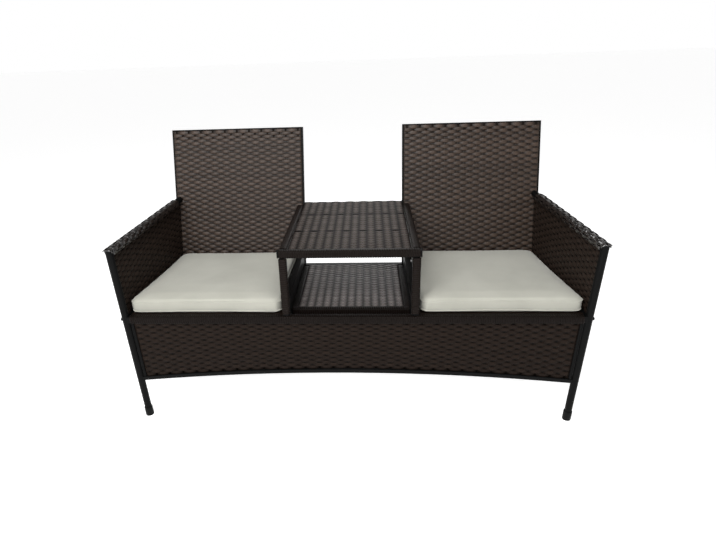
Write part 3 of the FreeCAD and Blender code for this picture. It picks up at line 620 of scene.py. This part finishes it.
def edge_piping(pad, points, height):
    """A round cord along the edge of a cushion at a height above the sloping seat."""
    low, high = points.min(axis=0), points.max(axis=0)
    slope = SEAT_DROP / (high[1] - low[1])
    above = points[:, 2] + slope * (points[:, 1] - low[1])
    loop = points[np.abs(above - above.min() - height) < CUSHION_SHOULDER / 4]
    centre = (low + high) / 2
    turn = np.arctan2(loop[:, 1] - centre[1], loop[:, 0] - centre[0])
    loop = loop[np.argsort(turn)]
    loop = np.vstack([loop, loop[:1]])
    to_pad = pad.matrix_world.inverted()
    on_pad = []
    for point in loop:
        _, place, _, _ = pad.closest_point_on_mesh(to_pad @ Vector(point))
        on_pad.append(pad.matrix_world @ place)
    cord = np.array(on_pad)
    outward = unit((cord - centre) * (1, 1, 0))
    return cord, outward * PIPING_R, np.broadcast_to(np.array(Z) * PIPING_R, cord.shape), np.ones(len(cord))


def blow_up(pad):
    """Moves the cover as cloth under pressure, no further than a few millimetres."""
    rest = np.array([vertex.co for vertex in pad.data.vertices])
    cloth = pad.modifiers.new("cloth", "CLOTH")
    cloth.settings.use_pressure = True
    cloth.settings.uniform_pressure_force = CUSHION_PRESSURE
    cloth.settings.effector_weights.gravity = 0
    cloth.settings.mass = CLOTH_MASS
    cloth.point_cache.frame_start = 1
    cloth.point_cache.frame_end = CUSHION_FRAMES
    scene = bpy.context.scene
    for number in range(1, CUSHION_FRAMES + 1):
        scene.frame_set(number)
    moved = pad.evaluated_get(bpy.context.evaluated_depsgraph_get())
    now = np.array([vertex.co for vertex in moved.data.vertices])
    pad.modifiers.clear()
    scene.frame_set(1)
    move = now - rest
    size = np.linalg.norm(move, axis=1, keepdims=True)
    move *= np.minimum(1, CUSHION_MOVE / np.maximum(size, 1e-9))
    pad.data.vertices.foreach_set("co", (rest + move).ravel())
    pad.data.update()


def apron_arch(u):
    """Rise of the apron's low edge at a place along it."""
    return APRON_RISE * (1 - (2 * u - 1) ** 2)


def round_caps():
    """Rounds the rims of the moulded feet."""
    caps = frame["nodes"]["foot_caps"]
    caps.modifiers.new("join", "WELD")
    rim = caps.modifiers.new("rim", "BEVEL")
    rim.width = CAP_RIM_R
    rim.segments = 4
    rim.limit_method = "ANGLE"
    rim.angle_limit = CAP_RIM_ANGLE


# Build

for record_part in frame["record"]["subparts"]:
    piece = frame["nodes"][record_part["node"]]
    piece.data.materials.clear()
    piece.data.materials.append(FINISH[record_part["material_slot"]])

for word, side in (("left", -1), ("right", 1)):
    woven_panel("back_weave_" + word, X, BACK_UP, BACK_OUT, BACK_STRAND, edge=BACK_EDGE)
    woven_panel("arm_weave_" + word, Y, Z, X * -side, INNER_STRAND_PAINTED_SHADE, weave=SIDE_WEAVE)
    woven_panel("seat_weave_" + word, X, Y, Z, SIDE_STRAND_PAINTED_SHADE, edge=-SEAT_WEAVE_LAP, weave=SEAT_WEAVE)
    woven_arm("arm_wrap_" + word)
    cushion("seat_cushion_" + word, "cushion_" + word)

woven_panel("apron_weave", X, Z, -Y, SIDE_STRAND_PAINTED_SHADE, apron_arch, weave=SIDE_WEAVE)
# The rows at a third and two thirds of the table top's depth are painted shade, in place of the shaded gaps
# across it
level_panel("table_top_weave", TABLE_STRAND_PAINTED_SHEEN, "table_rear_bar", TABLE_WRAP_T, (1 / 3, 2 / 3))
level_panel("shelf_weave", SHELF_STRAND_PAINTED_REFLECTION, "shelf_bar_rear", 2 * WIND_T)

wound_piece("front_rail_winding", [square_bar("seat_front_rail_wrap", X, Y, Z, RAIL_WRAP, RAIL_CORNER_R)],
            ["seat_front_rail_wrap"])
shelf_size = SHELF_BAR + 2 * WIND_T
table_bars = []
shelf_bars = []
for word in ("front", "rear"):
    table_bars.append(square_bar("table_" + word + "_bar", X, Y, Z, TABLE_WRAP, TABLE_CORNER_R))
    shelf_bars.append(square_bar("shelf_bar_" + word, X, Y, Z, shelf_size, BAR_CORNER_R))
for word in ("left", "right"):
    table_bars.append(square_bar("table_side_bar_" + word, Y, X, Z, TABLE_WRAP, TABLE_CORNER_R))
    table_bars.append(square_bar("table_post_" + word, Z, X, Y, TABLE_WRAP, TABLE_CORNER_R))
    shelf_bars.append(square_bar("shelf_bar_" + word, Y, X, Z, shelf_size, BAR_CORNER_R))
wound_piece("table_winding", table_bars, ["table_frame_wrap"])
wound_piece("shelf_winding", shelf_bars)
round_caps()


# Floor, light and camera

def area_light(name, place, target, width, depth, power):
    lamp = bpy.data.lights.new(name, "AREA")
    lamp.shape = "ELLIPSE"
    lamp.size = width
    lamp.size_y = depth
    lamp.energy = power
    piece = bpy.data.objects.new(name, lamp)
    piece.location = place
    piece.rotation_euler = (Vector(target) - Vector(place)).to_track_quat("-Z", "Y").to_euler()
    bpy.context.scene.collection.objects.link(piece)


def floor():
    points = FLOOR_HALF * np.array([(-1, -1, 0), (1, -1, 0), (1, 1, 0), (-1, 1, 0)])
    piece = mesh_piece("floor", points, [(0, 1, 2, 3)])
    piece.data.materials.append(pale_floor())


def camera():
    lens = bpy.data.cameras.new("camera")
    lens.sensor_width = 36
    lens.lens = FOCAL_PX * lens.sensor_width / PHOTO_W
    lens.shift_x = (PHOTO_W / 2 - CENTRE_PX[0]) / PHOTO_W
    lens.shift_y = (CENTRE_PX[1] - PHOTO_H / 2) / PHOTO_W
    heading = Vector((math.sin(CAMERA_YAW), math.cos(CAMERA_YAW), 0))
    ahead = heading * math.cos(CAMERA_PITCH) - Z * math.sin(CAMERA_PITCH)
    level = Vector((math.cos(CAMERA_YAW), -math.sin(CAMERA_YAW), 0))
    plumb = level.cross(ahead)
    right = level * math.cos(CAMERA_ROLL) + plumb * math.sin(CAMERA_ROLL)
    upward = plumb * math.cos(CAMERA_ROLL) - level * math.sin(CAMERA_ROLL)
    turn = Matrix((right, upward, -ahead)).transposed()
    piece = bpy.data.objects.new("camera", lens)
    piece.matrix_world = Matrix.Translation(CAMERA_PLACE) @ turn.to_4x4()
    bpy.context.scene.collection.objects.link(piece)
    bpy.context.scene.camera = piece


def world():
    """White backdrop, darker overhead so that the softboxes shape the bench."""
    sky = bpy.data.worlds.new("studio")
    sky.use_nodes = True
    nodes, links = sky.node_tree.nodes, sky.node_tree.links
    place = nodes.new("ShaderNodeTexCoord")
    parts = nodes.new("ShaderNodeSeparateXYZ")
    fade = nodes.new("ShaderNodeMapRange")
    for name, value in (("From Min", 0.15), ("From Max", 0.45), ("To Min", 1), ("To Max", 0.2)):
        fade.inputs[name].default_value = value
    links.new(place.outputs["Generated"], parts.inputs["Vector"])
    links.new(parts.outputs["Z"], fade.inputs["Value"])
    links.new(fade.outputs["Result"], nodes["Background"].inputs["Strength"])
    nodes["Background"].inputs["Color"].default_value = (1, 1, 1, 1)
    bpy.context.scene.world = sky
    bpy.context.scene.view_settings.view_transform = "Standard"


floor()
world()
area_light("front softbox", (-0.8, -2.6, 2.3), (0, 0, 0.4), 2.2, 2.2, 85)
area_light("top strip", (0, -1.2, 2.6), (0, -0.2, 0.4), 2.6, 0.3, 22)
area_light("rear strip", (0, 2.6, 1.9), (0, 0, 0.5), 1.0, 1.0, 16)
camera()
